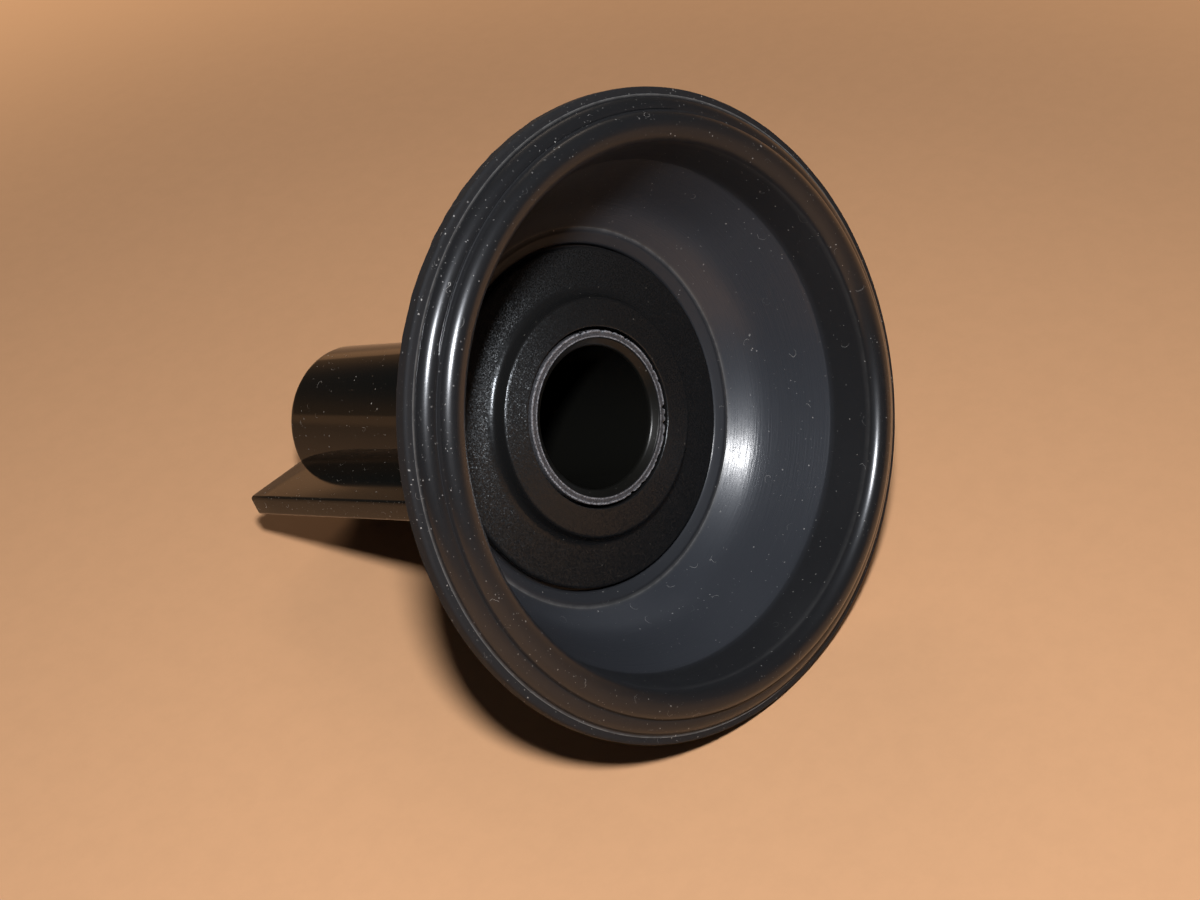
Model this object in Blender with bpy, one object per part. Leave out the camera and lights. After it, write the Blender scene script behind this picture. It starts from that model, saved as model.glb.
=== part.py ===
"""Carburettor diaphragm slide: a moulded slide, its rubber diaphragm and the ring that retains it.

Each piece is modelled about the slide's own axis, with +Z towards the open mouth, Z = 0 at the front
face of the diaphragm's bead, and the guide plate across X. The group then lies down the way it comes
to rest: on the edge of the bead and the edge of the slide's closed end, with the guide plate level.
"""

import math

import bmesh
import bpy
from mathutils import Matrix, Vector

MM = 0.001

# How the pieces meet
CLEARANCE = 0.3 * MM  # gap between two pieces that touch

# Diaphragm: bead and band, clamped between the carburettor's body and its cover
BEAD_RADIUS = 33.0 * MM
BEAD_THICKNESS = 1.64 * MM
BEAD_WIDTH = 3.4 * MM
BEAD_EDGE = 0.25 * MM
LEDGE_WIDTH = 0.9 * MM  # flat step outside the band
BAND_WIDTH = 1.8 * MM
BAND_HEIGHT = 0.9 * MM

# Diaphragm: the round roll inside the band, the steep wall under it and the cone down to the seat
RUBBER_WALL = 0.9 * MM
ROLL_RADIUS = 1.55 * MM
ROLL_HEIGHT = 2.45 * MM
WALL_DRAFT = math.radians(14.3)
WALL_FOOT_DEPTH = 3.6 * MM
SEAT_RADIUS = 20.0 * MM  # foot of the cone
SEAT_DEPTH = 13.5 * MM
SEAT_EDGE = 0.35 * MM
INNER_BEAD_WIDTH = 2.2 * MM
INNER_BEAD_HEIGHT = 1.6 * MM  # above the web that the ring clamps

# Retaining ring: a flat outer band, and a raised middle that covers the inner bead
RING_RADIUS = 18.0 * MM
RING_THICKNESS = 1.0 * MM
RING_PROUD = 0.15 * MM  # its outer band above the rubber seat
RING_RISE = 1.65 * MM
RING_EDGE = 0.3 * MM
STEP_SLOPE = 0.45 * MM
STEP_EDGE = 0.35 * MM

# Slide body: a tube with a closed end, a flange under the diaphragm and a flat guide plate
BODY_RADIUS = 9.2 * MM
BODY_DEPTH = 57.8 * MM  # from the bead's face to the closed end
BODY_EDGE = 0.4 * MM
STUB_EDGE = 0.2 * MM
FLANGE_INSET = 0.9 * MM  # flange edge inside the foot of the cone
FLANGE_THICKNESS = 1.8 * MM
FLANGE_EDGE = 0.4 * MM
FLANGE_FILLET = 1.0 * MM
BORE_RADIUS = 7.5 * MM
BORE_MOUTH = 0.35 * MM
BORE_FILLET = 0.6 * MM
END_THICKNESS = 3.0 * MM
NEEDLE_SEAT_RADIUS = 4.0 * MM
NEEDLE_SEAT_DEPTH = 1.0 * MM
NEEDLE_HOLE_RADIUS = 1.4 * MM
LIFT_HOLE_RADIUS = 1.2 * MM
LIFT_HOLE_OFFSET = 5.7 * MM
PLATE_WIDTH = 34.8 * MM
PLATE_THICKNESS = 2.5 * MM
PLATE_DROP = 1.1 * MM  # its middle plane below the bore's axis
PLATE_SETBACK = 0.3 * MM  # its end short of the closed end
PLATE_EDGE = 0.45 * MM

# Steps round each turned shape
RUBBER_STEPS = 60
RING_STEPS = 56
BODY_STEPS = 56
FILLET_STEPS = 2
ROLL_STEPS = 9
HOLE_STEPS = 20
CUT_MARGIN = 1.0 * MM  # how far a cutter runs past the face it cuts

# Heights that more than one piece uses, worked down from the bead's face
ring_band_top = -SEAT_DEPTH + RING_PROUD
ring_band_bottom = ring_band_top - RING_THICKNESS
ring_crown = ring_band_top + RING_RISE
web_top = ring_band_bottom - CLEARANCE
web_bottom = web_top - RUBBER_WALL
flange_top = web_bottom - CLEARANCE
flange_bottom = flange_top - FLANGE_THICKNESS
body_end = -BODY_DEPTH
eye_radius = BODY_RADIUS + CLEARANCE  # hole that the slide's stub passes through
inner_bead_radius = eye_radius + INNER_BEAD_WIDTH


def clear_scene():
    for item in list(bpy.data.objects):
        bpy.data.objects.remove(item, do_unlink=True)


def finish_material(name, color, roughness):
    material = bpy.data.materials.new(name)
    material.use_nodes = True
    shader = material.node_tree.nodes["Principled BSDF"]
    shader.inputs["Base Color"].default_value = (*color, 1.0)
    shader.inputs["Roughness"].default_value = roughness
    shader.inputs["Metallic"].default_value = 0.0
    return material


def arc(center, radius, start, end, steps):
    """Points on a circle in the section plane, from one angle to another."""
    angles = [start + (end - start) * step / steps for step in range(steps + 1)]
    return [center + radius * Vector((math.cos(angle), math.sin(angle))) for angle in angles]


def filleted(corners, steps=FILLET_STEPS):
    """Section outline with rounded corners: each corner is (radius, height, fillet)."""
    points = []
    spots = [Vector(corner[:2]) for corner in corners]
    for index, spot in enumerate(spots):
        fillet = corners[index][2]
        if fillet == 0.0 or index in (0, len(spots) - 1):
            points.append(spot)
            continue
        back = spots[index - 1] - spot
        ahead = spots[index + 1] - spot
        half_angle = back.angle(ahead) / 2
        reach = min(fillet / math.tan(half_angle), 0.45 * back.length, 0.45 * ahead.length)
        middle = (back.normalized() + ahead.normalized()).normalized()
        center = spot + middle * (reach / math.cos(half_angle))
        first = spot + back.normalized() * reach - center
        last = spot + ahead.normalized() * reach - center
        turn = first.angle_signed(last)
        for step in range(steps + 1):
            points.append(center + Matrix.Rotation(-turn * step / steps, 2) @ first)
    return points


def beside(points, distance):
    """The same line moved sideways by one distance, with mitred corners."""
    normals = []
    for start, end in zip(points, points[1:]):
        along = (end - start).normalized()
        normals.append(Vector((-along.y, along.x)))
    moved = [points[0] + normals[0] * distance]
    for spot, before, after in zip(points[1:], normals, normals[1:]):
        mitre = (before + after).normalized()
        moved.append(spot + mitre * (distance / mitre.dot(before)))
    moved.append(points[-1] + normals[-1] * distance)
    return moved


def turned(name, outline, steps, closed, material):
    """Spin a section outline about Z; a closed outline is a ring, an open one starts and ends on the axis."""
    turned_mesh = bmesh.new()
    verts = [turned_mesh.verts.new((point.x, 0.0, point.y)) for point in outline]
    edges = [turned_mesh.edges.new(pair) for pair in zip(verts, verts[1:])]
    if closed:
        edges.append(turned_mesh.edges.new((verts[-1], verts[0])))
    # Half a step round, so that a flat facet and not a corner faces the table
    half_step = Matrix.Rotation(math.pi / steps, 3, "Z")
    bmesh.ops.rotate(turned_mesh, verts=verts, cent=(0, 0, 0), matrix=half_step)
    bmesh.ops.spin(
        turned_mesh, geom=verts + edges, cent=(0, 0, 0), axis=(0, 0, 1),
        angle=2 * math.pi, steps=steps, use_merge=True,
    )
    bmesh.ops.remove_doubles(turned_mesh, verts=turned_mesh.verts, dist=0.00001 * MM)
    bmesh.ops.recalc_face_normals(turned_mesh, faces=turned_mesh.faces)
    return object_from(turned_mesh, name, material)


def object_from(shape, name, material):
    mesh = bpy.data.meshes.new(name)
    shape.to_mesh(mesh)
    shape.free()
    mesh.shade_smooth()
    mesh.set_sharp_from_angle(angle=math.radians(32))
    if material:
        mesh.materials.append(material)
    item = bpy.data.objects.new(name, mesh)
    bpy.context.scene.collection.objects.link(item)
    return item


def add_boolean(target, tool, operation):
    tool.hide_render = True
    tool.display_type = "WIRE"
    cut = target.modifiers.new(f"{operation.lower()} {tool.name}", "BOOLEAN")
    cut.object = tool
    cut.operation = operation
    cut.solver = "EXACT"


def diaphragm_outline():
    """Closed section of the rubber: the side that faces the mouth inwards, then the back outwards."""
    band_radius = BEAD_RADIUS - LEDGE_WIDTH
    roll_center = Vector((band_radius - BAND_WIDTH - ROLL_RADIUS, ROLL_HEIGHT - ROLL_RADIUS))
    wall_angle = math.pi - WALL_DRAFT

    front_roll = arc(roll_center, ROLL_RADIUS, math.radians(-8), wall_angle, ROLL_STEPS)
    wall_top = front_roll[-1]
    wall_drop = wall_top.y + WALL_FOOT_DEPTH
    wall_foot = Vector((wall_top.x - wall_drop * math.tan(WALL_DRAFT), -WALL_FOOT_DEPTH))
    cone_foot = Vector((SEAT_RADIUS, -SEAT_DEPTH))

    seat_bore = RING_RADIUS + CLEARANCE
    inner_bead_top = web_top + INNER_BEAD_HEIGHT
    front = filleted([
        (BEAD_RADIUS - BEAD_WIDTH, -BEAD_THICKNESS, 0.0),
        (BEAD_RADIUS, -BEAD_THICKNESS, BEAD_EDGE),
        (BEAD_RADIUS, 0.0, BEAD_EDGE),
        (band_radius, 0.0, 0.0),
        (band_radius - 0.3 * BAND_WIDTH, BAND_HEIGHT, BAND_HEIGHT),
        (band_radius - 0.75 * BAND_WIDTH, BAND_HEIGHT, BAND_HEIGHT),
        (*front_roll[0], 0.0),
    ])
    front += front_roll[1:]
    front += filleted([
        (*wall_top, 0.0),
        (*wall_foot, 0.6 * MM),
        (*cone_foot, 1.2 * MM),
        (seat_bore, -SEAT_DEPTH, SEAT_EDGE),
        (seat_bore, web_top, 0.0),
        (inner_bead_radius, web_top, 0.0),
        (inner_bead_radius, inner_bead_top, SEAT_EDGE),
        (eye_radius, inner_bead_top, SEAT_EDGE),
        (eye_radius, web_bottom, 0.0),
    ])[1:]

    wall_back, foot_back, cone_back = beside([wall_top, wall_foot, cone_foot], RUBBER_WALL)
    slope = (cone_back.x - foot_back.x) / (cone_back.y - foot_back.y)
    seat_back = Vector((cone_back.x + slope * (web_bottom - cone_back.y), web_bottom))
    back = filleted([
        (eye_radius, web_bottom, 0.0),
        (*seat_back, 0.8 * MM),
        (*foot_back, 1.2 * MM),
        (*wall_back, 0.0),
    ])[1:]
    back_roll = arc(roll_center, ROLL_RADIUS - RUBBER_WALL, wall_angle, 0.0, ROLL_STEPS - 3)
    return front + back + back_roll[1:]


def ring_outline():
    """Closed section of the stepped ring, its top side inwards and then its underside outwards."""
    pocket_radius = inner_bead_radius + CLEARANCE
    step_radius = pocket_radius + RING_THICKNESS
    pocket_roof = web_top + INNER_BEAD_HEIGHT + CLEARANCE
    corners = filleted([
        (RING_RADIUS - 1.0 * MM, ring_band_bottom, 0.0),
        (RING_RADIUS, ring_band_bottom, 0.15 * MM),
        (RING_RADIUS, ring_band_top, RING_EDGE),
        (step_radius, ring_band_top, STEP_EDGE),
        (step_radius - STEP_SLOPE, ring_crown, STEP_EDGE),
        (eye_radius, ring_crown, RING_EDGE),
        (eye_radius, pocket_roof, 0.0),
        (pocket_radius, pocket_roof, 0.0),
        (pocket_radius, ring_band_bottom, 0.0),
    ])
    return corners


def body_outline():
    """Section of the slide's outside, from the axis at its mouth to the axis at its closed end."""
    flange_radius = SEAT_RADIUS - FLANGE_INSET
    return filleted([
        (0.0, ring_crown, 0.0),
        (BODY_RADIUS, ring_crown, STUB_EDGE),
        (BODY_RADIUS, flange_top, 0.0),
        (flange_radius, flange_top, FLANGE_EDGE),
        (flange_radius, flange_bottom, FLANGE_EDGE),
        (BODY_RADIUS, flange_bottom, FLANGE_FILLET),
        (BODY_RADIUS, body_end, BODY_EDGE),
        (0.0, body_end, 0.0),
    ])


def bore_outline():
    """Section of everything bored from the mouth: spring bore, needle seat and needle hole."""
    floor = body_end + END_THICKNESS
    needle_floor = floor - NEEDLE_SEAT_DEPTH
    return filleted([
        (0.0, ring_crown + CUT_MARGIN, 0.0),
        (BORE_RADIUS + BORE_MOUTH + CUT_MARGIN, ring_crown + CUT_MARGIN, 0.0),
        (BORE_RADIUS, ring_crown - BORE_MOUTH, 0.0),
        (BORE_RADIUS, floor, BORE_FILLET),
        (NEEDLE_SEAT_RADIUS, floor, 0.0),
        (NEEDLE_SEAT_RADIUS, needle_floor, 0.0),
        (NEEDLE_HOLE_RADIUS, needle_floor, 0.0),
        (NEEDLE_HOLE_RADIUS, body_end - CUT_MARGIN, 0.0),
        (0.0, body_end - CUT_MARGIN, 0.0),
    ])


def guide_plate():
    """Flat plate with rounded edges, from inside the flange to just short of the closed end."""
    top = flange_bottom + FLANGE_THICKNESS / 2
    bottom = body_end + PLATE_SETBACK
    plate = bmesh.new()
    bmesh.ops.create_cube(plate, size=1.0)
    bmesh.ops.scale(plate, verts=plate.verts, vec=(PLATE_WIDTH, PLATE_THICKNESS, top - bottom))
    bmesh.ops.translate(plate, verts=plate.verts, vec=(0, -PLATE_DROP, (top + bottom) / 2))
    bmesh.ops.bevel(
        plate, geom=plate.edges[:], offset=PLATE_EDGE, segments=2, profile=0.5, affect="EDGES",
    )
    bmesh.ops.recalc_face_normals(plate, faces=plate.faces)
    return object_from(plate, "guide plate", None)


def lift_hole():
    """Straight hole through the closed end, on the side away from the guide plate."""
    depth = END_THICKNESS + 2 * CUT_MARGIN
    hole = bmesh.new()
    bmesh.ops.create_cone(
        hole, cap_ends=True, segments=HOLE_STEPS, radius1=LIFT_HOLE_RADIUS, radius2=LIFT_HOLE_RADIUS,
        depth=depth,
    )
    middle = body_end + END_THICKNESS / 2
    bmesh.ops.translate(hole, verts=hole.verts, vec=(0, LIFT_HOLE_OFFSET, middle))
    return object_from(hole, "lift hole", None)


def make_slide_body(material):
    body = turned("slide_body", body_outline(), BODY_STEPS, False, material)
    bore = turned("bore", bore_outline(), BODY_STEPS, False, None)
    tools = [(guide_plate(), "UNION"), (bore, "DIFFERENCE"), (lift_hole(), "DIFFERENCE")]
    for tool, operation in tools:
        add_boolean(body, tool, operation)
    return [body] + [tool for tool, operation in tools]


def resting_tilt():
    """Rise of the slide's axis when the bead's back edge and the closed end's edge both touch a table."""
    bead_center = Vector((BEAD_RADIUS - BEAD_EDGE, -BEAD_THICKNESS + BEAD_EDGE))
    end_center = Vector((BODY_RADIUS - BODY_EDGE, body_end + BODY_EDGE))
    span = bead_center - end_center
    return math.acos((BODY_EDGE - BEAD_EDGE) / span.length) - math.atan2(span.y, span.x)


def lay_down(items, pieces):
    """Tip everything so that the mouth looks towards -Y and up, then stand it on Z = 0, centred."""
    pose = bpy.data.objects.new("lying pose", None)
    bpy.context.scene.collection.objects.link(pose)
    for item in items:
        item.parent = pose
    pose.rotation_euler = (math.pi / 2 - resting_tilt(), 0.0, 0.0)
    bpy.context.view_layer.update()

    corners = [piece.matrix_world @ vert.co for piece in pieces for vert in piece.data.vertices]
    lowest = min(corner.z for corner in corners)
    nearest = min(corner.y for corner in corners)
    farthest = max(corner.y for corner in corners)
    pose.location = (0.0, -(nearest + farthest) / 2, -lowest)


def main():
    clear_scene()
    body_plastic = finish_material("glossy black plastic", (0.012, 0.012, 0.013), 0.22)
    ring_plastic = finish_material("satin black plastic", (0.016, 0.016, 0.017), 0.45)
    rubber = finish_material("black rubber", (0.02, 0.02, 0.023), 0.35)

    body_items = make_slide_body(body_plastic)
    diaphragm = turned("diaphragm", diaphragm_outline(), RUBBER_STEPS, True, rubber)
    ring = turned("retaining_ring", ring_outline(), RING_STEPS, True, ring_plastic)
    lay_down(body_items + [diaphragm, ring], [body_items[0], diaphragm, ring])


main()
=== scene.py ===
import math

import bpy
import numpy as np
from mathutils import Euler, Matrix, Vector


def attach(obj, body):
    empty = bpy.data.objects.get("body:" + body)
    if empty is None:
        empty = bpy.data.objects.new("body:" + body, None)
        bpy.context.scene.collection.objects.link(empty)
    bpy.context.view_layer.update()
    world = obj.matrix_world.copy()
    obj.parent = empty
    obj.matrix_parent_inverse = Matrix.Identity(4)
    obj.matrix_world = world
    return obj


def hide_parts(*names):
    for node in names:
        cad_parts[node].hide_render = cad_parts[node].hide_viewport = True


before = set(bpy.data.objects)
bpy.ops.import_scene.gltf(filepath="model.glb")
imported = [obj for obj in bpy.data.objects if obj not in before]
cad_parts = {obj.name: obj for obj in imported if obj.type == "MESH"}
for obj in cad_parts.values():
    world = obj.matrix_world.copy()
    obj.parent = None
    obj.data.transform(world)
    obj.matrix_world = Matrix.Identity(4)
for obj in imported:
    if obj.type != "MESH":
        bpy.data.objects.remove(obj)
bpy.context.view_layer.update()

mm = 0.001

# How the slide lies: its own axis is tipped up by this much, then everything is moved onto the floor
lying = {"tiltDegrees": 23.0106, "moveMm": (0.0, -21.5191, 30.8953)}

# How a section is cut into points: the most of a straight side that an arc may take, and the half
# angle (in radians) past which a corner is straight enough to need no arc
sections = {"mostOfSide": 0.45, "nearlyStraight": 1.56}


def tipUp(points):
    # a turn about X: y = y cos - z sin, z = y sin + z cos
    turn = math.radians(90 - lying["tiltDegrees"])
    x, y, z = points[..., 0], points[..., 1], points[..., 2]
    return np.stack([
        x,
        y * math.cos(turn) - z * math.sin(turn),
        y * math.sin(turn) + z * math.cos(turn),
    ], axis=-1)


def layDown(points):
    # from the slide's own frame in mm (axis along Z, mouth up) to the frame's metres: tip, then move
    return (tipUp(points) + np.array(lying["moveMm"])) * mm


def sectionLine(corners, spacing, arcSteps=5):
    # a line through (radius, height, fillet) corners. Each corner becomes an arc that touches both
    # sides: centre + (sin((1 - share) sweep) first + sin(share sweep) last) / sin(sweep). Each
    # straight part is cut into steps that are short at its ends: share is half of
    # 1 - cos(pi step / steps)
    spots = np.array([corner[:2] for corner in corners], float)
    pieces = [spots[:1]]
    for before, spot, after, corner in zip(spots, spots[1:], spots[2:], corners[1:]):
        back, ahead = before - spot, after - spot
        backLength, aheadLength = np.hypot(*back), np.hypot(*ahead)
        back, ahead = back / backLength, ahead / aheadLength
        half = math.acos(np.clip(back @ ahead, -1, 1)) / 2
        if corner[2] == 0 or half > sections["nearlyStraight"]:
            pieces.append(spot[None])
            continue
        most = sections["mostOfSide"] * min(backLength, aheadLength)
        reach = min(corner[2] / math.tan(half), most)
        middle = (back + ahead) / np.hypot(*(back + ahead))
        centre = spot + middle * (reach / math.cos(half))
        first, last = spot + back * reach - centre, spot + ahead * reach - centre
        share = np.linspace(0, 1, arcSteps + 1)[:, None]
        sweep = math.pi - 2 * half
        turned = np.sin((1 - share) * sweep) * first + np.sin(share * sweep) * last
        pieces.append(centre + turned / math.sin(sweep))
    pieces.append(spots[-1:])
    line = [pieces[0]]
    for start, end in zip(pieces, pieces[1:]):
        length = np.hypot(*(end[0] - start[-1]))
        steps = max(1, math.ceil(length / spacing))
        share = 0.5 - 0.5 * np.cos(np.pi * np.arange(1, steps) / steps)[:, None]
        line.append(start[-1] + share * (end[0] - start[-1]))
        line.append(end)
    return np.concatenate(line)


def circleLine(centre, radius, startDegrees, endDegrees, steps):
    # points on a circle in the section: centre + radius (cos angle, sin angle)
    angle = np.radians(np.linspace(startDegrees, endDegrees, steps + 1))
    return np.array(centre) + radius * np.stack([np.cos(angle), np.sin(angle)], axis=-1)


def sideLine(line, distance):
    # the same line moved sideways by one distance: each corner goes along the mean of its two
    # normals, by the distance over the cosine of the angle between a normal and that mean
    step = np.diff(line, axis=0)
    side = np.stack([-step[:, 1], step[:, 0]], axis=-1) / np.hypot(*step.T)[:, None]
    mitre = np.concatenate([side[:1], side[:-1] + side[1:], side[-1:]])
    mitre /= np.hypot(*mitre.T)[:, None]
    cosine = (np.concatenate([side[:1], side]) * mitre).sum(axis=1)
    return line + mitre * (distance / cosine)[:, None]


def softRandom(shape, blur, seed):
    # random numbers on a grid that closes on itself both ways, smoothed by a bell curve through
    # their spectrum, exp(-2 pi^2 (wave blur)^2), with a spread of one
    randoms = np.random.default_rng(seed).standard_normal(shape)
    waves = [np.fft.fftfreq(count)[(slice(None),) + (None,) * (len(shape) - 1 - axis)]
             for axis, count in enumerate(shape)]
    damp = np.exp(-2 * math.pi ** 2 * sum((wave * size) ** 2 for wave, size in zip(waves, blur)))
    smooth = np.fft.ifftn(np.fft.fftn(randoms) * damp).real
    return smooth / smooth.std()


def fullTurn(steps):
    # the angles of one full turn, one row each: 2 pi row / steps
    return 2 * np.pi * np.arange(steps)[:, None] / steps


def outwardsAt(angle):
    # the direction away from the axis: (cos angle, sin angle, 0)
    return np.stack([np.cos(angle), np.sin(angle), 0 * angle], axis=-1)


def turnedGrid(line, steps):
    # the section carried once round Z: (radius cos angle, radius sin angle, height)
    angle = fullTurn(steps)
    radius, height = line[None, :, 0], line[None, :, 1]
    return np.stack([radius * np.cos(angle), radius * np.sin(angle), height + 0 * angle], axis=-1)


def ringFaces(rows, columns):
    # four-cornered faces of a grid that closes on itself both ways
    corner = np.arange(rows * columns).reshape(rows, columns)
    across, along = np.roll(corner, -1, axis=0), np.roll(corner, -1, axis=1)
    both = np.roll(across, -1, axis=1)
    return np.stack([corner, across, both, along], axis=-1).reshape(-1, 4)


def bell(values, middle, width):
    # exp(-((value - middle) / width)^2)
    return np.exp(-((values - middle) / width) ** 2)


def ramp(values, zeroAt, oneAt):
    # a straight line from 0 at one value to 1 at another, level beyond both
    return np.clip((values - zeroAt) / (oneAt - zeroAt), 0, 1)


def makePiece(name, points, faces):
    # whole arrays go into the mesh at once
    mesh = bpy.data.meshes.new(name)
    mesh.vertices.add(len(points))
    mesh.vertices.foreach_set("co", points.astype(np.float32).ravel())
    mesh.loops.add(faces.size)
    mesh.loops.foreach_set("vertex_index", faces.ravel().astype(np.int32))
    mesh.polygons.add(len(faces))
    starts = np.arange(0, faces.size, faces.shape[1], dtype=np.int32)
    mesh.polygons.foreach_set("loop_start", starts)
    mesh.update(calc_edges=True)
    mesh.shade_smooth()
    piece = bpy.data.objects.new(name, mesh)
    bpy.context.scene.collection.objects.link(piece)
    return piece


def paintPoints(piece, name, values, shape=None):
    # one number for each point, which a material reads by its name; a row or a column of numbers is
    # repeated over a grid of the given shape
    if shape:
        values = np.broadcast_to(values, shape)
    layer = piece.data.attributes.new(name, "FLOAT", "POINT")
    layer.data.foreach_set("value", values.astype(np.float32).ravel())


def paintVectors(piece, name, vectors, shape):
    # one vector for each point of a grid of the given shape
    vectors = np.broadcast_to(vectors, (*shape, 3))
    layer = piece.data.attributes.new(name, "FLOAT_VECTOR", "POINT")
    layer.data.foreach_set("vector", vectors.astype(np.float32).ravel())


def addNode(tree, kind, settings=None, **inputs):
    # one node with its settings, and its inputs by name or, as n0, n1 and so on, by number: a socket
    # is linked, and anything else is set
    made = tree.nodes.new(kind)
    for name, value in (settings or {}).items():
        setattr(made, name, value)
    for name, value in inputs.items():
        byNumber = name[0] == "n" and name[1:].isdigit()
        socket = made.inputs[int(name[1:]) if byNumber else name.replace("_", " ")]
        if isinstance(value, bpy.types.NodeSocket):
            tree.links.new(value, socket)
        else:
            socket.default_value = value
    return made


def work(tree, operation, first, second=0.0, clamp=False):
    settings = {"operation": operation, "use_clamp": clamp}
    return addNode(tree, "ShaderNodeMath", settings, n0=first, n1=second).outputs[0]


def plus(tree, first, second, clamp=False):
    return work(tree, "ADD", first, second, clamp)


def times(tree, first, second, clamp=False):
    return work(tree, "MULTIPLY", first, second, clamp)


def highest(tree, first, *others):
    for other in others:
        first = work(tree, "MAXIMUM", first, other)
    return first


def vectorWork(tree, operation, first, **inputs):
    made = addNode(tree, "ShaderNodeVectorMath", {"operation": operation}, n0=first, **inputs)
    return made.outputs["Value" if operation in ("DOT_PRODUCT", "LENGTH") else "Vector"]


def rise(tree, value, low, high, start=0.0, end=1.0):
    # a smooth step of the value, from start at low to end at high
    made = addNode(tree, "ShaderNodeMapRange", {"interpolation_type": "SMOOTHSTEP"}, Value=value,
                   From_Min=low, From_Max=high, To_Min=start, To_Max=end)
    return made.outputs["Result"]


def noise(tree, place, scale, detail=2.0, roughness=0.5, output="Fac"):
    made = addNode(tree, "ShaderNodeTexNoise", None, Vector=place, Scale=scale, Detail=detail,
                   Roughness=roughness)
    return made.outputs[output]


def scaled(tree, place, scale):
    # the place stretched by three factors
    return addNode(tree, "ShaderNodeMapping", None, Vector=place, Scale=scale).outputs[0]


def blendColours(tree, share, first, second):
    made = addNode(tree, "ShaderNodeMix", {"data_type": "RGBA"}, n0=share, n6=first, n7=second)
    return made.outputs[2]


def painted(tree, name, output="Fac"):
    return addNode(tree, "ShaderNodeAttribute", {"attribute_name": name}).outputs[output]


def objectPlace(tree):
    return addNode(tree, "ShaderNodeTexCoord").outputs["Object"]


def seenRays(tree):
    # 1 for what is seen directly, in gloss or through glass, and 0 for light on its way to the object
    rays = addNode(tree, "ShaderNodeLightPath").outputs
    seen = plus(tree, rays["Is Camera Ray"], rays["Is Glossy Ray"])
    return plus(tree, seen, rays["Is Transmission Ray"], True)


def dustSpecks(tree, place, perMetre, share, size):
    # specks: near the middle of some random cells, each with a ragged edge and a size of its own,
    # most of them small: reach = size (random^2.5 + smallest)
    raggedScale, raggedReach, smallest, softEdge = 4, 2.2, 0.45, 0.6
    ragged = noise(tree, place, perMetre * raggedScale, output="Color")
    ragged = vectorWork(tree, "SCALE", ragged, Scale=size * mm * raggedReach)
    moved = vectorWork(tree, "ADD", place, n1=ragged)
    cells = addNode(tree, "ShaderNodeTexVoronoi", {"feature": "F1"}, Vector=moved, Scale=perMetre)
    parts = addNode(tree, "ShaderNodeSeparateColor", None, Color=cells.outputs["Color"])
    kept = work(tree, "LESS_THAN", parts.outputs[0], share)
    large = work(tree, "POWER", parts.outputs[1], 2.5)
    reach = times(tree, plus(tree, large, smallest), size * perMetre * mm)
    inside = rise(tree, work(tree, "DIVIDE", cells.outputs["Distance"], reach), 1.0, softEdge)
    return times(tree, kept, inside)


def lintFibres(tree, place, perMetre, share, radius, width):
    # fibres: a thin bent ring round the middle of some random cells, of which only the side that
    # faces one random way is kept: the cosine of the angle to that way is over about 0.3
    bendScale, bend, arcFrom, arcFull = 2.5, 0.25, 0.25, 0.35
    bent = noise(tree, place, perMetre * bendScale, output="Color")
    moved = vectorWork(tree, "ADD", place, n1=vectorWork(tree, "SCALE", bent, Scale=bend / perMetre))
    cells = addNode(tree, "ShaderNodeTexVoronoi", {"feature": "F1"}, Vector=moved, Scale=perMetre)
    parts = addNode(tree, "ShaderNodeSeparateColor", None, Color=cells.outputs["Color"])
    kept = work(tree, "LESS_THAN", parts.outputs[0], share)
    fromLine = work(tree, "SUBTRACT", cells.outputs["Distance"], radius * perMetre * mm)
    wide = width * perMetre * mm
    onLine = rise(tree, work(tree, "ABSOLUTE", fromLine), wide, wide * 0.5)
    spot = vectorWork(tree, "SUBTRACT", moved, n1=cells.outputs["Position"])
    chosen = vectorWork(tree, "SUBTRACT", cells.outputs["Color"], n1=(0.5, 0.5, 0.5))
    side = vectorWork(tree, "DOT_PRODUCT", vectorWork(tree, "NORMALIZE", spot),
                      n1=vectorWork(tree, "NORMALIZE", chosen))
    return times(tree, times(tree, kept, onLine), rise(tree, side, arcFrom, arcFull))


def newMaterial(name):
    material = bpy.data.materials.new(name)
    material.use_nodes = True
    tree = material.node_tree
    return material, tree, tree.nodes["Principled BSDF"]


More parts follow.
